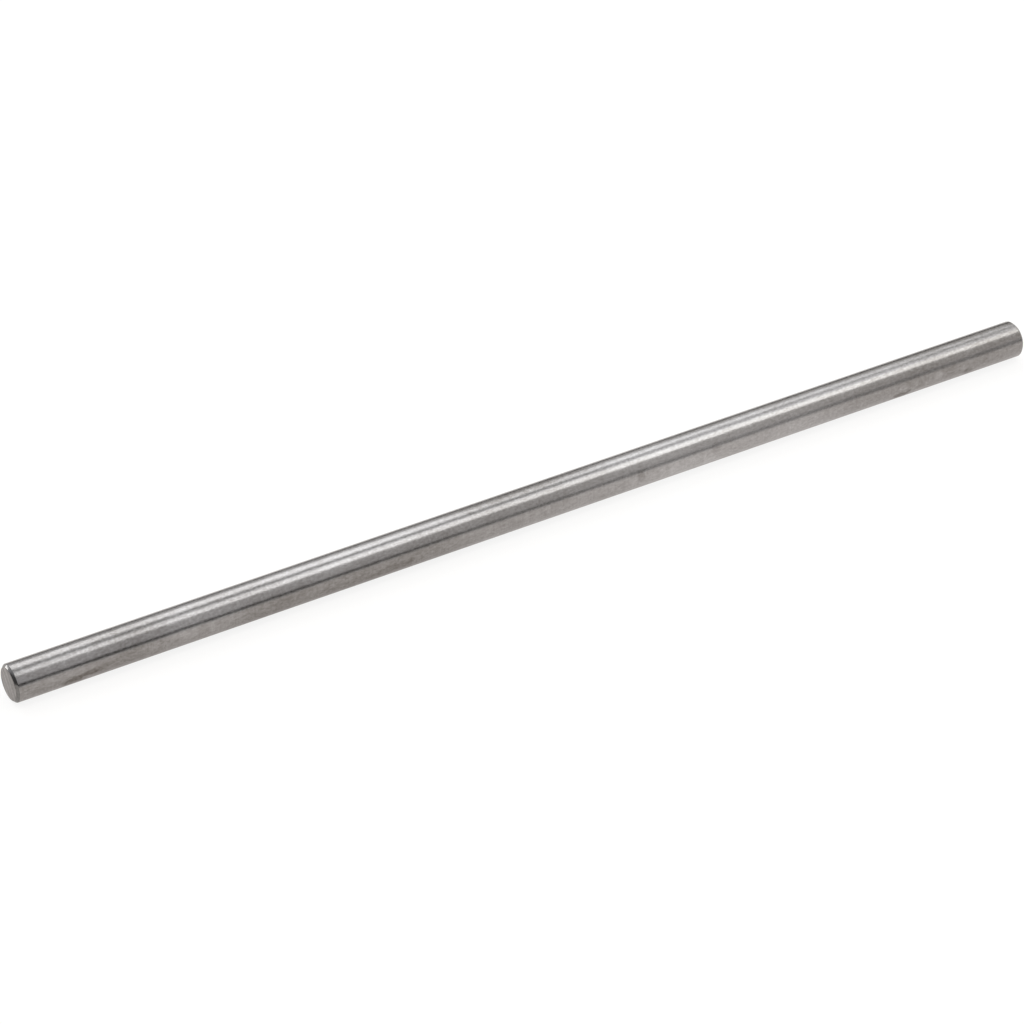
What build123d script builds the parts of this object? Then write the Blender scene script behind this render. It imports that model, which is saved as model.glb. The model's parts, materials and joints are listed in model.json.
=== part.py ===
# Plug gauge, also called a pin gauge: one plain cylinder of hardened steel, ground and lapped to
# size, which is tried in a hole to see whether the hole is at least that large.
# The pin lies along X, with the origin on its axis at mid-length. All sizes are in millimetres.
import os

from build123d import *

# Driving dimensions
pin_length = 50.0  # from end face to end face
pin_diameter = 1.65  # the gauging size, over the ground cylinder
chamfer_run = 0.12  # length of each end's chamfer along the pin
chamfer_depth = 0.12  # how far each chamfer cuts in from the ground cylinder
corner_blend = 0.05  # small radius that lapping leaves on each edge of a chamfer

# Places that follow from them
half_length = pin_length / 2
pin_radius = pin_diameter / 2
shoulder = half_length - chamfer_run  # where the ground cylinder ends and the chamfer starts
face_radius = pin_radius - chamfer_depth  # the flat left at each end, inside the chamfer

# The pin: half of its section, from the axis out to the ground surface, turned about X
with BuildPart() as gauge_pin:
    with BuildSketch(Plane.XZ) as half_section:
        with BuildLine():
            Polyline(
                (-half_length, 0),
                (-half_length, face_radius),
                (-shoulder, pin_radius),
                (shoulder, pin_radius),
                (half_length, face_radius),
                (half_length, 0),
                close=True,
            )
        make_face()
        # The two lowest corners lie on the axis. The rest are the edges of the chamfers, and none is sharp
        chamfer_edges = half_section.vertices().sort_by(Axis.Y)[2:]
        fillet(chamfer_edges, radius=corner_blend)
    revolve(axis=Axis.X)

gauge_pin.part.label = "gauge_pin"

os.makedirs("parts", exist_ok=True)
export_step(gauge_pin.part, "parts/gauge_pin.step")
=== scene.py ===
import json
import math

import bmesh
import bpy
from mathutils import Matrix, Vector


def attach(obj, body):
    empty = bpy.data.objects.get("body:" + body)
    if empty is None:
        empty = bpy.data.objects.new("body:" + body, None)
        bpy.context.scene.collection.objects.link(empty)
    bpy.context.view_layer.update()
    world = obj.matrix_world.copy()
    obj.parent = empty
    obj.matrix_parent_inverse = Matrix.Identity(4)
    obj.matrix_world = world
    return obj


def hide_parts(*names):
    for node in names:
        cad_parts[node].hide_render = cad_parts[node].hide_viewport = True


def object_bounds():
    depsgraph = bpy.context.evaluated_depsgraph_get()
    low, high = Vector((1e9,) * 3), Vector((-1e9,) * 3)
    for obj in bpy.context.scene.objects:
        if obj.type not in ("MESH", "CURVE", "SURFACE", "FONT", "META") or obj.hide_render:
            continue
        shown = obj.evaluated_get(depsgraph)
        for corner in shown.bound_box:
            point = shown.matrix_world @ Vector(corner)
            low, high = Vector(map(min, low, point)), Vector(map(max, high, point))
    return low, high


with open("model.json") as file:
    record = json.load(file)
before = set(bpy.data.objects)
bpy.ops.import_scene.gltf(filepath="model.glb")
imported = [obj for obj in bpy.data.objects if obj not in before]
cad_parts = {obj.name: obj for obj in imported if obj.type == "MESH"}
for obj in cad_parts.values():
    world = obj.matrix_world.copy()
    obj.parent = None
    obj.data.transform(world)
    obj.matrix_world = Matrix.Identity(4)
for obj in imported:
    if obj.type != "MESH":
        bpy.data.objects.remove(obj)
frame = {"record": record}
cad_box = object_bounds()

# Camera: a long lens looks down across the pin from beside its nearer end, so that the end face
# and the whole length both show. It aims a little short of the middle of the pin.
LENS_MM = 140.2
CAMERA_DISTANCE = 0.169343
CAMERA_TURN = math.radians(-31.386)
CAMERA_HEIGHT_ANGLE = math.radians(34.361)
CAMERA_AIM = Vector((-0.001265, 0.000440, -0.000412))

towards_camera = Vector((
    math.sin(CAMERA_TURN) * math.cos(CAMERA_HEIGHT_ANGLE),
    -math.cos(CAMERA_TURN) * math.cos(CAMERA_HEIGHT_ANGLE),
    math.sin(CAMERA_HEIGHT_ANGLE),
))
camera = bpy.data.objects.new("camera", bpy.data.cameras.new("camera"))
camera.data.lens = LENS_MM
camera.data.clip_start = 0.01
camera.data.clip_end = 10
camera.location = CAMERA_AIM + towards_camera * CAMERA_DISTANCE
camera.rotation_mode = "QUATERNION"
camera.rotation_quaternion = towards_camera.to_track_quat("Z", "Y")
bpy.context.scene.collection.objects.link(camera)
bpy.context.scene.camera = camera

# Table: a plain pale top, on which the pin lies. The camera sees it white by a glow, of which metal
# and glass see a little less. The glow lights nothing, so that the pin keeps its soft shadow.
PIN_RADIUS = frame["record"]["mounts"][0]["dims"]["r_mm"] / 1000
TABLE_COLOUR = (0.18, 0.172, 0.161, 1)
TABLE_GLOW_SEEN = 0.84
TABLE_GLOW_IN_METAL = 0.655
TABLE_TINT_IN_METAL = (1, 0.972, 0.952, 1)
TABLE_SIZE = 6.0
WHITE = (1, 1, 1, 1)


def plain_material(name, colour, roughness=1.0, glow=0.0, glow_colour=WHITE):
    """One colour all over. A glow of 1 is as bright as white."""
    material = bpy.data.materials.new(name)
    material.use_nodes = True
    shader = material.node_tree.nodes["Principled BSDF"]
    shader.inputs["Base Color"].default_value = colour
    shader.inputs["Roughness"].default_value = roughness
    shader.inputs["Emission Color"].default_value = glow_colour
    shader.inputs["Emission Strength"].default_value = glow
    return material


def flat_card(name, corners, material):
    """A flat card of the studio, from its corners in order."""
    bm = bmesh.new()
    bm.faces.new([bm.verts.new(corner) for corner in corners])
    mesh = bpy.data.meshes.new(name)
    bm.to_mesh(mesh)
    bm.free()
    mesh.materials.append(material)
    card = bpy.data.objects.new(name, mesh)
    bpy.context.scene.collection.objects.link(card)
    return card


def glow_in_sight(tree, strength, everywhere, seen, in_metal):
    """Sets a glow's strength: what everything sees, and more for the camera, and for metal and glass."""
    light_path = tree.nodes.new("ShaderNodeLightPath")
    glow = everywhere
    for ray, added in (
        ("Is Camera Ray", seen), ("Is Glossy Ray", in_metal), ("Is Transmission Ray", in_metal),
    ):
        node = tree.nodes.new("ShaderNodeMath")
        node.operation = "MULTIPLY_ADD"
        tree.links.new(light_path.outputs[ray], node.inputs[0])
        node.inputs[1].default_value = added
        if isinstance(glow, float):
            node.inputs[2].default_value = glow
        else:
            tree.links.new(glow, node.inputs[2])
        glow = node.outputs["Value"]
    tree.links.new(glow, strength)


def tint_in_metal(tree, colour, tint):
    """Sets a glow's colour: white to the camera, and a tint to everything else."""
    light_path = tree.nodes.new("ShaderNodeLightPath")
    mix = tree.nodes.new("ShaderNodeMix")
    mix.data_type = "RGBA"
    mix.inputs["A"].default_value = tint
    mix.inputs["B"].default_value = WHITE
    tree.links.new(light_path.outputs["Is Camera Ray"], mix.inputs["Factor"])
    tree.links.new(mix.outputs["Result"], colour)


half_table = TABLE_SIZE / 2
table_top = plain_material("table_top", TABLE_COLOUR, roughness=0.9)
table_glow = table_top.node_tree.nodes["Principled BSDF"].inputs
glow_in_sight(
    table_top.node_tree, table_glow["Emission Strength"], 0.0, TABLE_GLOW_SEEN, TABLE_GLOW_IN_METAL,
)
tint_in_metal(table_top.node_tree, table_glow["Emission Color"], TABLE_TINT_IN_METAL)
flat_card(
    "table",
    [(x, y, -PIN_RADIUS) for x, y in (
        (-half_table, -half_table), (half_table, -half_table), (half_table, half_table),
        (-half_table, half_table),
    )],
    table_top,
)

# Room: pale walls all round, a little cooler on the left than on the right. They light the table and
# the pin softly from every side, and the camera sees them white.
ROOM_LEFT_COLOUR = (0.664, 0.673, 0.700, 1)
ROOM_RIGHT_COLOUR = (0.693, 0.673, 0.650, 1)
ROOM_GLOW = 0.9
ROOM_GLOW_SEEN = 0.66
ROOM_GLOW_IN_METAL = 0.1
ROOM_TURNS_WARMER = (0.26, 0.56)

world = bpy.data.worlds.new("room")
world.use_nodes = True
room_light = world.node_tree.nodes["Background"]
way = world.node_tree.nodes.new("ShaderNodeSeparateXYZ")
world.node_tree.links.new(
    world.node_tree.nodes.new("ShaderNodeTexCoord").outputs["Generated"], way.inputs["Vector"],
)
to_the_right = world.node_tree.nodes.new("ShaderNodeMapRange")
to_the_right.inputs["From Min"].default_value = ROOM_TURNS_WARMER[0]
to_the_right.inputs["From Max"].default_value = ROOM_TURNS_WARMER[1]
world.node_tree.links.new(way.outputs["X"], to_the_right.inputs["Value"])
wall_colour = world.node_tree.nodes.new("ShaderNodeMix")
wall_colour.data_type = "RGBA"
wall_colour.inputs["A"].default_value = ROOM_LEFT_COLOUR
wall_colour.inputs["B"].default_value = ROOM_RIGHT_COLOUR
world.node_tree.links.new(to_the_right.outputs["Result"], wall_colour.inputs["Factor"])
world.node_tree.links.new(wall_colour.outputs["Result"], room_light.inputs["Color"])
glow_in_sight(
    world.node_tree, room_light.inputs["Strength"], ROOM_GLOW, ROOM_GLOW_SEEN, ROOM_GLOW_IN_METAL,
)
bpy.context.scene.world = world

# Lamps: wide soft lamps in a lit ceiling, with a dimmer gap between them, and a softbox low behind
# the pin's nearer end. Their edges give the steel its light and dark bands along its length.
LAMP_COLOUR = (0.957, 0.980, 1, 1)
WARM_LAMP_COLOUR = (0.990, 1, 0.978, 1)
BLACK = (0, 0, 0, 1)
CEILING_HEIGHT = 1.2
SOFTBOX_BRIGHTNESS = 4.3
SOFTBOX_LONG, SOFTBOX_SHORT = 0.60, 0.21
SOFTBOX_PLACE = Vector((-0.636, 1.010, 0.132))
SOFTBOX_ROLL = math.radians(30)


def ceiling_lamp(name, brightness, corners, above=0.0, colour=LAMP_COLOUR):
    """A soft lamp in the ceiling, seen by everything but the camera. Its corners go from x, y to x, y."""
    lamp = flat_card(
        name, [(x, y, CEILING_HEIGHT + above) for x, y in corners],
        plain_material(name, BLACK, glow=brightness, glow_colour=colour),
    )
    lamp.visible_camera = False


ceiling_lamp("lamp_front", 2.3, ((-0.5, -0.554), (0.20, -0.554), (0.20, -0.06), (-0.5, -0.06)))
ceiling_lamp("lamp_front_middle", 2.52, (
    (0.36, -0.554), (0.40, -0.516), (0.52, -0.535), (0.60, -0.552), (0.64, -0.552),
    (0.64, 0.05), (0.58, 0.07), (0.50, 0.07), (0.43, -0.055), (0.36, -0.20),
))
ceiling_lamp("lamp_front_right", 2.32, (
    (0.64, -0.552), (0.78, -0.545), (0.86, -0.505), (1.3, -0.45),
    (1.3, 0.0), (0.90, -0.04), (0.80, -0.05), (0.74, -0.03), (0.64, 0.05),
), colour=WARM_LAMP_COLOUR)
ceiling_lamp("lamp_front_far", 1.6, (
    (0.64, 0.05), (0.74, -0.03), (0.80, -0.05), (0.90, -0.04), (1.3, 0.0),
    (1.3, 0.54), (0.90, 0.45), (0.75, 0.36), (0.67, 0.15),
))
ceiling_lamp("ceiling_gap", 0.42, (
    (0.24, 0.05), (0.46, 0.12), (0.55, 0.15), (0.58, 0.22), (0.70, 0.30),
    (0.71, 0.42), (0.57, 0.35), (0.46, 0.32), (0.24, 0.28),
))
ceiling_lamp("lamp_back", 2.3, ((-0.5, 0.45), (0.0, 0.45), (0.24, 1.9), (-0.5, 1.9)))
ceiling_lamp("lamp_back_middle", 2.46, (
    (0.24, 0.58), (0.42, 0.55), (0.50, 0.44), (0.58, 0.43), (0.66, 0.60), (0.78, 0.70),
    (0.68, 1.86), (0.50, 1.92),
))
ceiling_lamp("lamp_back_right", 1.60, ((0.78, 0.70), (0.92, 0.72), (1.13, 0.88), (1.13, 1.30), (0.70, 1.80)))
ceiling_lamp("lit_ceiling", 0.81, ((-1.2, -0.554), (1.6, -0.554), (1.6, 1.9), (-1.2, 1.9)), above=0.02)

softbox = bpy.data.lights.new("softbox_left", "AREA")
softbox.shape = "RECTANGLE"
softbox.size = SOFTBOX_LONG
softbox.size_y = SOFTBOX_SHORT
softbox.energy = SOFTBOX_BRIGHTNESS * math.pi * SOFTBOX_LONG * SOFTBOX_SHORT
softbox_left = bpy.data.objects.new("softbox_left", softbox)
softbox_left.matrix_world = (
    Matrix.Translation(SOFTBOX_PLACE) @ SOFTBOX_PLACE.to_track_quat("Z", "Y").to_matrix().to_4x4()
    @ Matrix.Rotation(SOFTBOX_ROLL, 4, "Z")
)
softbox_left.visible_camera = False
bpy.context.scene.collection.objects.link(softbox_left)

# Dark cards: upright cards round the table, as a photographer sets them to give polished metal its
# form. The steel's dark lines are their reflections.


def dark_card(name, shade, along, bottom, tops):
    """An upright card between two points of the floor, which shades nothing and only the metal sees."""
    (x0, y0), (x1, y1) = along
    card = flat_card(
        name, [(x0, y0, bottom), (x1, y1, bottom), (x1, y1, tops[1]), (x0, y0, tops[0])],
        plain_material(name, (shade, shade, shade, 1)),
    )
    card.visible_camera = False
    card.visible_diffuse = False
    card.visible_shadow = False


dark_card("flag_front", 0.02, ((-2.0, -1.5), (0.52, -1.5)), 0.154, (0.54, 0.54))
dark_card("flag_front_middle", 0.02, ((0.52, -1.5), (0.76, -1.5)), 0.15, (0.53, 0.46))
dark_card("flag_front_right", 0.70, ((0.90, -1.5), (2.2, -1.5)), 0.08, (0.66, 0.66))
dark_card("flag_left", 0.22, ((-1.5, -1.1), (-1.5, 0.75)), 0.0, (0.82, 0.82))
dark_card("flag_back", 0.12, ((0.2, 2.0), (2.2, 2.0)), 0.0, (0.24, 0.90))

# Gauge pin: one cylinder of hardened steel, centreless ground and lapped, so that its fine marks
# run round it. Each end is ground flat, and has a narrow 45-degree chamfer with blended edges.
MM = 0.001
PIN_LENGTH_MM = (cad_box[1].x - cad_box[0].x) / MM
CHAMFER_MM = 0.12
CORNER_BLEND_MM = 0.05
STEPS_ROUND = 160
BODY_DIVISIONS = 100
FACE_RINGS = 7
BLEND_SEGMENTS = 5
HALF_CHAMFER_ANGLE = math.radians(22.5)
SAME_PLACE_MM = 1e-4
GROUND, CHAMFER, END = 0, 1, 2


def turned_pin():
    """The pin in millimetres, turned about X from the outline of half its section."""
    radius = PIN_RADIUS / MM
    half = PIN_LENGTH_MM / 2
    shoulder = half - CHAMFER_MM
    face_radius = radius - CHAMFER_MM
    outline = (
        (-half, 0), (-half, face_radius), (-shoulder, radius),
        (shoulder, radius), (half, face_radius), (half, 0),
    )
    bm = bmesh.new()
    corners = [bm.verts.new((x, 0, -r)) for x, r in outline]
    sides = [bm.edges.new(pair) for pair in zip(corners, corners[1:])]
    bmesh.ops.subdivide_edges(bm, edges=[sides[0], sides[4]], cuts=FACE_RINGS - 1)
    bmesh.ops.subdivide_edges(bm, edges=[sides[2]], cuts=BODY_DIVISIONS - 1)
    bmesh.ops.spin(
        bm, geom=bm.verts[:] + bm.edges[:], cent=(0, 0, 0), axis=(1, 0, 0),
        angle=math.tau, steps=STEPS_ROUND, use_merge=True,
    )
    bmesh.ops.remove_doubles(bm, verts=bm.verts, dist=SAME_PLACE_MM)
    bmesh.ops.recalc_face_normals(bm, faces=bm.faces)

    def same(a, b):
        return math.isclose(a, b, abs_tol=SAME_PLACE_MM)

    def on_corner(vert):
        r = math.hypot(vert.co.y, vert.co.z)
        return any(
            same(abs(vert.co.x), x) and same(r, at) for x, at in ((half, face_radius), (shoulder, radius))
        )

    rims = [
        edge for edge in bm.edges
        if all(on_corner(v) for v in edge.verts) and same(edge.verts[0].co.x, edge.verts[1].co.x)
    ]
    bmesh.ops.bevel(
        bm, geom=rims, offset=CORNER_BLEND_MM * math.tan(HALF_CHAMFER_ANGLE), offset_type="OFFSET",
        segments=BLEND_SEGMENTS, profile=0.5, affect="EDGES", material=-1,
    )
    return bm


def finish_of(face):
    """Which of the three finishes a face has, from how far it is turned towards an end."""
    turned = abs(face.normal.x)
    if turned > math.cos(HALF_CHAMFER_ANGLE):
        return END
    return CHAMFER if turned > math.sin(HALF_CHAMFER_ANGLE) else GROUND


# The bake's map: the ground cylinder as four strips, with U along the pin, and above them the two
# chamfers, unrolled, and the two end faces. U runs across the marks on every one of them.
BODY_STRIPS = 4
STRIP_MARGIN_U = 0.01
STRIP_V, STRIP_GAP = 0.2, 0.006
ABOVE_STRIPS_V = 0.9
END_U, END_HALF_WIDTH = (0.1, 0.3), 0.09
CHAMFER_U, CHAMFER_WIDTH, CHAMFER_LENGTH = (0.45, 0.55), 0.02, 0.17
END_LAY = math.radians(52)


def place_on_map(face, co, half_mm, radius_mm):
    """Where a corner of a face lies on the bake's map. co and the sizes are in millimetres."""
    middle = face.calc_center_median()
    side = middle.x > 0
    if face.material_index == END:
        across = co.z * math.cos(END_LAY) - co.y * math.sin(END_LAY)
        along = co.y * math.cos(END_LAY) + co.z * math.sin(END_LAY)
        return (
            END_U[side] + END_HALF_WIDTH * across / radius_mm,
            ABOVE_STRIPS_V + END_HALF_WIDTH * along / radius_mm,
        )
    turn = math.atan2(co.y, co.z) / math.tau
    middle_turn = math.atan2(middle.y, middle.z) / math.tau
    turn += round(middle_turn - turn)
    if face.material_index == CHAMFER:
        depth = (radius_mm - math.hypot(co.y, co.z)) / CHAMFER_MM
        return CHAMFER_U[side] + CHAMFER_WIDTH * depth, ABOVE_STRIPS_V + CHAMFER_LENGTH * turn
    strip = min(int((middle.x / half_mm + 1) / 2 * BODY_STRIPS), BODY_STRIPS - 1)
    along = (co.x / half_mm + 1) / 2 * BODY_STRIPS - strip
    return (
        STRIP_MARGIN_U + (1 - 2 * STRIP_MARGIN_U) * along,
        STRIP_V * (strip + 0.5) + (STRIP_V - STRIP_GAP) * turn,
    )


bm = turned_pin()
bmesh.ops.recalc_face_normals(bm, faces=bm.faces)
bm.normal_update()
bake_map = bm.loops.layers.uv.new("OFBake")
for face in bm.faces:
    face.smooth = True
    face.material_index = finish_of(face)
    for loop in face.loops:
        loop[bake_map].uv = place_on_map(face, loop.vert.co, PIN_LENGTH_MM / 2, PIN_RADIUS / MM)
bmesh.ops.scale(bm, vec=(MM, MM, MM), verts=bm.verts)
pin_mesh = bpy.data.meshes.new("gauge_pin_ground")
bm.to_mesh(pin_mesh)
bm.free()
pin = bpy.data.objects.new("gauge_pin_ground", pin_mesh)
bpy.context.scene.collection.objects.link(pin)
weighted = pin.modifiers.new("flat_faces_flat", "WEIGHTED_NORMAL")
weighted.weight = 100


def noise(tree, place, detail, roughness=0.5):
    """Noise of 0 to 1 that changes about once in each unit of place."""
    node = tree.nodes.new("ShaderNodeTexNoise")
    node.inputs["Scale"].default_value = 1
    node.inputs["Detail"].default_value = detail
    node.inputs["Roughness"].default_value = roughness
    tree.links.new(place, node.inputs["Vector"])
    return node.outputs["Fac"]


def stretch(tree, place, changes_per_metre, start=(0, 0, 0)):
    """place in units that suit a noise: so many to the metre on X, Y and Z, counted from start."""
    node = tree.nodes.new("ShaderNodeMapping")
    node.inputs["Location"].default_value = start
    node.inputs["Scale"].default_value = changes_per_metre
    tree.links.new(place, node.inputs["Vector"])
    return node.outputs["Vector"]


def weigh(tree, middle, parts):
    """middle plus each part's distance from a half, times its weight. Parts are sockets of 0 to 1."""
    total = middle - 0.5 * sum(weight for part, weight in parts)
    for part, weight in parts:
        node = tree.nodes.new("ShaderNodeMath")
        node.operation = "MULTIPLY_ADD"
        tree.links.new(part, node.inputs[0])
        node.inputs[1].default_value = weight
        if isinstance(total, float):
            node.inputs[2].default_value = total
        else:
            tree.links.new(total, node.inputs[2])
        total = node.outputs["Value"]
    return total


def combine(tree, operation, first, second):
    """Two sockets put together by one of the Math node's operations."""
    node = tree.nodes.new("ShaderNodeMath")
    node.operation = operation
    tree.links.new(first, node.inputs[0])
    tree.links.new(second, node.inputs[1])
    return node.outputs["Value"]


# How often each kind of mark changes in a metre on X, Y and Z, and where its noise is counted from.
LONG_CHANGES_PER_METRE = (65, 440, 440)
LONG_CHANGES_START = (1.9, 33.61, 55.97)
SMEARS_PER_METRE = (340, 600, 600)
SMEARS_START = (22.6, 56, 49)
SPECKS_PER_METRE = (5200, 10500, 10500)


def make_ground_surface():
    """What grinding and handling leave on the steel: fine marks along the lay, specks and smears."""
    group = bpy.data.node_groups.new("ground_surface", "ShaderNodeTree")
    for label, kind in (
        ("Place", "NodeSocketVector"), ("Place Along Lay", "NodeSocketVector"),
        ("Light Steel", "NodeSocketColor"), ("Dark Steel", "NodeSocketColor"),
        ("Mark Share", "NodeSocketFloat"), ("Stains And Painted Light", "NodeSocketFloat"),
    ):
        group.interface.new_socket(label, in_out="INPUT", socket_type=kind)
    for label, kind in (
        ("Colour", "NodeSocketColor"), ("Height", "NodeSocketFloat"), ("Dullness", "NodeSocketFloat"),
    ):
        group.interface.new_socket(label, in_out="OUTPUT", socket_type=kind)
    given = group.nodes.new("NodeGroupInput")
    made = group.nodes.new("NodeGroupOutput")
    place = given.outputs["Place"]
    long_change = noise(
        group, stretch(group, place, LONG_CHANGES_PER_METRE, LONG_CHANGES_START), detail=1,
    )
    smears = noise(
        group, stretch(group, place, SMEARS_PER_METRE, SMEARS_START), detail=3, roughness=0.55,
    )
    specks = noise(group, stretch(group, place, SPECKS_PER_METRE), detail=2, roughness=0.8)
    marks = noise(group, given.outputs["Place Along Lay"], detail=3, roughness=0.6)
    marks_on_top = combine(
        group, "MULTIPLY", weigh(group, 0.0, ((marks, 1.0),)), given.outputs["Mark Share"],
    )
    before_patches = combine(
        group, "ADD", weigh(group, 0.5, ((long_change, 1.7), (smears, 0.9), (specks, 1.25))),
        marks_on_top,
    )
    tone = group.nodes.new("ShaderNodeMix")
    tone.data_type = "RGBA"
    tone.clamp_factor = False
    group.links.new(given.outputs["Dark Steel"], tone.inputs["A"])
    group.links.new(given.outputs["Light Steel"], tone.inputs["B"])
    # The stains, and the painted shade and painted highlight, are taken off the tone here.
    group.links.new(
        combine(group, "SUBTRACT", before_patches, given.outputs["Stains And Painted Light"]), tone.inputs["Factor"],
    )
    group.links.new(tone.outputs["Result"], made.inputs["Colour"])
    group.links.new(weigh(group, 0.5, ((marks, 0.6), (specks, 1.0))), made.inputs["Height"])
    group.links.new(weigh(group, 0.5, ((specks, 1.0), (smears, 0.25))), made.inputs["Dullness"])
    return group


GROUND_SURFACE = make_ground_surface()


def steel(name, light, dark, roughness, anisotropy, mark_size_mm, mark_share, lay_turn, relief_mm):
    """Hardened steel with a ground finish. The marks lie along Y, or on an end at lay_turn about X."""
    material = bpy.data.materials.new(name)
    material.use_nodes = True
    tree = material.node_tree
    shader = tree.nodes["Principled BSDF"]
    shader.inputs["Metallic"].default_value = 1
    shader.inputs["Anisotropic"].default_value = anisotropy
    place = tree.nodes.new("ShaderNodeTexCoord").outputs["Object"]
    along_lay = tree.nodes.new("ShaderNodeMapping")
    along_lay.vector_type = "TEXTURE"
    along_lay.inputs["Rotation"].default_value = (lay_turn, 0, 0)
    along_lay.inputs["Scale"].default_value = [size * MM for size in mark_size_mm]
    tree.links.new(place, along_lay.inputs["Vector"])
    surface = tree.nodes.new("ShaderNodeGroup")
    surface.name = "surface"
    surface.node_tree = GROUND_SURFACE
    surface.inputs["Light Steel"].default_value = light
    surface.inputs["Dark Steel"].default_value = dark
    surface.inputs["Mark Share"].default_value = mark_share
    tree.links.new(place, surface.inputs["Place"])
    tree.links.new(along_lay.outputs["Vector"], surface.inputs["Place Along Lay"])
    tree.links.new(surface.outputs["Colour"], shader.inputs["Base Color"])
    uneven = weigh(tree, roughness, ((surface.outputs["Dullness"], 0.06),))
    tree.links.new(uneven, shader.inputs["Roughness"])
    relief = tree.nodes.new("ShaderNodeBump")
    relief.inputs["Distance"].default_value = relief_mm * MM
    tree.links.new(surface.outputs["Height"], relief.inputs["Height"])
    tree.links.new(relief.outputs["Normal"], shader.inputs["Normal"])
    over_marks = tree.nodes.new("ShaderNodeTangent")
    over_marks.direction_type = "UV_MAP"
    over_marks.uv_map = "OFBake"
    tree.links.new(over_marks.outputs["Tangent"], shader.inputs["Tangent"])
    return material


# Stains left by handling, and patches of painted shade and painted highlight that darken or lighten the
# steel's reflected bands at set places: millimetres along the pin, degrees up from its foremost line,
# length and width in millimetres, and how far each darkens the steel. Those below zero are lighter:
# wiped places, and painted highlight.
STAINS_AND_PAINTED_LIGHT = (
    (-22.62, -22, 1.05, 0.46, 0.60), (-21.86, -11, 1.0, 0.28, 0.52), (-21.1, -2, 0.8, 0.20, 0.28),
    (4.47, 12, 0.40, 0.70, 0.42), (8.34, 15, 0.40, 0.62, 0.27), (18.2, -27, 1.05, 0.42, 0.85),
    (19.2, -13, 0.50, 0.36, 0.24), (21.9, -21, 0.40, 0.48, 0.50), (-7.8, -12, 2.4, 0.42, 0.20),
    (-1.2, 92, 7.0, 0.46, 0.30), (-20.3, 17, 4.0, 0.36, 0.10), (-13.8, 10, 7.0, 0.55, 0.10),
    (21.4, 5, 7.5, 0.60, 0.10),
    (6.2, -16, 6.0, 0.80, -0.20), (-22.7, 37, 4.6, 1.3, -0.16), (-17.5, 36, 1.4, 1.5, -0.19),
    (-10.3, 44, 2.4, 0.60, -0.12), (-7.0, 74, 6.0, 0.80, -0.16), (18.3, 1, 0.50, 0.30, -0.24),
    (20.2, 2, 0.50, 0.30, -0.22), (21.6, 0, 0.50, 0.30, -0.22),
)
# How far out from its middle a patch is still full, and where it is gone: 1 is half its size.
PATCH_FULL, PATCH_GONE = 0.5, 1.3
PATCH_EDGE_CHANGES_PER_METRE = (3000, 3000, 3000)


def add_stains_and_painted_light(material):
    """Darkens a steel at each patch of stain and painted shade, and lightens it at each wiped place and
    painted highlight. Their edges are broken up.
    """
    tree = material.node_tree
    place = tree.nodes.new("ShaderNodeTexCoord").outputs["Object"]
    unevenness = noise(tree, stretch(tree, place, PATCH_EDGE_CHANGES_PER_METRE), detail=2)
    broken_edge = weigh(tree, 0.0, ((unevenness, 1.6),))
    all_patches = None
    for along_mm, up_degrees, length_mm, width_mm, strength in STAINS_AND_PAINTED_LIGHT:
        up = math.radians(up_degrees)
        from_middle = tree.nodes.new("ShaderNodeMapping")
        from_middle.vector_type = "TEXTURE"
        from_middle.inputs["Location"].default_value = (
            along_mm * MM, -PIN_RADIUS * math.cos(up), PIN_RADIUS * math.sin(up),
        )
        from_middle.inputs["Scale"].default_value = (
            length_mm / 2 * MM, width_mm / 2 * MM, width_mm / 2 * MM,
        )
        tree.links.new(place, from_middle.inputs["Vector"])
        distance = tree.nodes.new("ShaderNodeVectorMath")
        distance.operation = "LENGTH"
        tree.links.new(from_middle.outputs["Vector"], distance.inputs[0])
        patch = tree.nodes.new("ShaderNodeMapRange")
        patch.interpolation_type = "SMOOTHSTEP"
        patch.inputs["From Min"].default_value = PATCH_FULL
        patch.inputs["From Max"].default_value = PATCH_GONE
        patch.inputs["To Min"].default_value = strength
        patch.inputs["To Max"].default_value = 0
        tree.links.new(
            combine(tree, "ADD", distance.outputs["Value"], broken_edge), patch.inputs["Value"],
        )
        covered = patch.outputs["Result"]
        all_patches = covered if all_patches is None else combine(tree, "ADD", all_patches, covered)
    tree.links.new(all_patches, tree.nodes["surface"].inputs["Stains And Painted Light"])


ground_steel = steel(
    "ground_steel", (0.466, 0.4505, 0.445, 1), (0.245, 0.228, 0.216, 1), roughness=0.235,
    anisotropy=0.25, mark_size_mm=(0.07, 1.5, 1.5), mark_share=0.4, lay_turn=0, relief_mm=0.002,
)
# Stains, and painted shade and painted highlight on the reflected bands, go on the ground steel.
add_stains_and_painted_light(ground_steel)
pin_mesh.materials.append(ground_steel)
pin_mesh.materials.append(steel(
    "chamfer_steel", (0.29, 0.285, 0.28, 1), (0.17, 0.164, 0.158, 1), roughness=0.19,
    anisotropy=0.25, mark_size_mm=(0.04, 1.5, 1.5), mark_share=0.3, lay_turn=0, relief_mm=0.001,
))
pin_mesh.materials.append(steel(
    "end_face_steel", (0.485, 0.461, 0.450, 1), (0.180, 0.170, 0.164, 1), roughness=0.35,
    anisotropy=0.3, mark_size_mm=(0.12, 1.6, 0.14), mark_share=2.3, lay_turn=END_LAY, relief_mm=0.003,
))

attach(pin, "root")
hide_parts("gauge_pin")

bpy.context.scene.view_settings.view_transform = "Standard"
